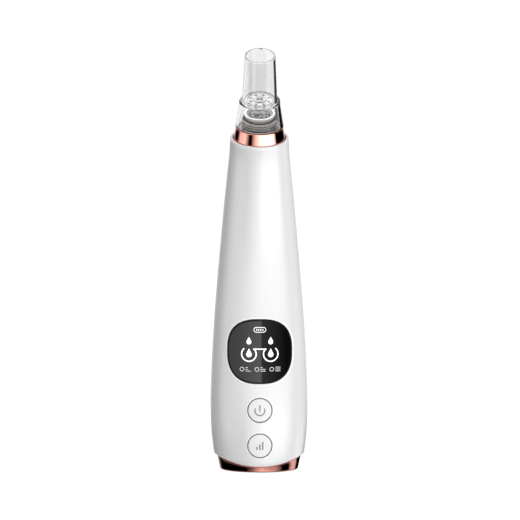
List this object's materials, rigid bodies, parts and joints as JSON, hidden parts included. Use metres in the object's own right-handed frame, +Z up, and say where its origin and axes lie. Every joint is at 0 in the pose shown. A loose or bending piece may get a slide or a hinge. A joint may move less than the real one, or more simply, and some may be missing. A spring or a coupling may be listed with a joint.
{
  "type": "blackhead vacuum extractor",
  "caption": "Slim bowed white handset with a clear pull-off suction nozzle, rose-gold neck and foot rings, a black display window and round push buttons.",
  "frame": {"origin": "centre of the foot pad's flat underside", "axes": "+Z up along the lower handle, -Y towards the side with the window and the buttons, +X to the right seen from behind the window"},
  "size_m": [0.04, 0.0509, 0.1773],
  "materials": {
    "satin_white": "satin white moulded plastic",
    "rose_gold": "rose-gold plating, mirror gloss",
    "clear_plastic": "clear polished plastic",
    "black_gloss": "polished black window",
    "white_plastic": "fine matt white plastic",
    "grey_plastic": "fine matt grey plastic",
    "black_plastic": "matt black plastic",
    "rubber_pad": "matt black rubber",
    "silicone": "soft grey silicone",
    "clear_silicone": "translucent silicone",
    "foam": "open-cell foam",
    "steel": "drawn steel",
    "brass": "turned brass",
    "copper": "wound copper",
    "circuit_board": "green solder mask",
    "battery_sleeve": "shrink sleeve over a steel can",
    "red_insulation": "wire insulation"
  },
  "bodies": {
    "handle": {"front_shell": "satin_white", "rear_shell": "satin_white", "neck_ring": "rose_gold", "base_trim": "rose_gold", "base_cover": "grey_plastic", "foot_pad": "rubber_pad", "display_window": "black_gloss", "tip_spigot": "white_plastic", "tip_seal": "silicone", "filter_sponge": "foam", "suction_hose": "clear_silicone", "spigot_nut": "white_plastic", "display_module": "white_plastic", "display_gasket": "foam", "main_board": "circuit_board", "power_switch": "black_plastic", "mode_switch": "black_plastic", "battery": "battery_sleeve", "battery_pad": "foam", "battery_lead": "red_insulation", "charging_board": "circuit_board", "charging_socket": "steel", "charging_tongue": "black_plastic", "charging_lead": "black_plastic", "inner_frame": "grey_plastic", "motor_can": "steel", "motor_end_cap": "black_plastic", "motor_sleeve": "foam", "swash_plate": "white_plastic", "diaphragm": "rubber_pad", "pump_housing": "grey_plastic", "valve_seat": "grey_plastic", "pump_cover": "grey_plastic", "pump_clip": "steel", "base_screw_left": "steel", "base_screw_right": "steel", "board_screw_1": "steel", "board_screw_2": "steel"},
    "power_cap": {"power_button": "satin_white", "power_plunger": "black_plastic"},
    "mode_cap": {"mode_button": "satin_white", "mode_plunger": "black_plastic"},
    "tip": {"suction_tip": "clear_plastic"},
    "rotor": {"motor_rotor": "copper", "eccentric_wheel": "brass"}
  },
  "joints": [
    {"name": "power_press", "type": "slide", "parent": "handle", "child": "power_cap", "axis": [0, 1, 0], "range_m": [0, 0.0004], "stiffness_N_per_m": 1500, "springref_m": -0.0002},
    {"name": "mode_press", "type": "slide", "parent": "handle", "child": "mode_cap", "axis": [0, 1, 0], "range_m": [0, 0.0004], "stiffness_N_per_m": 1500, "springref_m": -0.0002},
    {"name": "tip_pull", "type": "slide", "parent": "handle", "child": "tip", "axis": [0, -0.3987, 0.9171], "range_m": [0, 0.014]},
    {"name": "motor_spin", "type": "hinge", "parent": "handle", "child": "rotor", "pos_m": [0, -0.00008, 0.067], "axis": [0, -0.0849, 0.9964], "continuous": true}
  ]
}
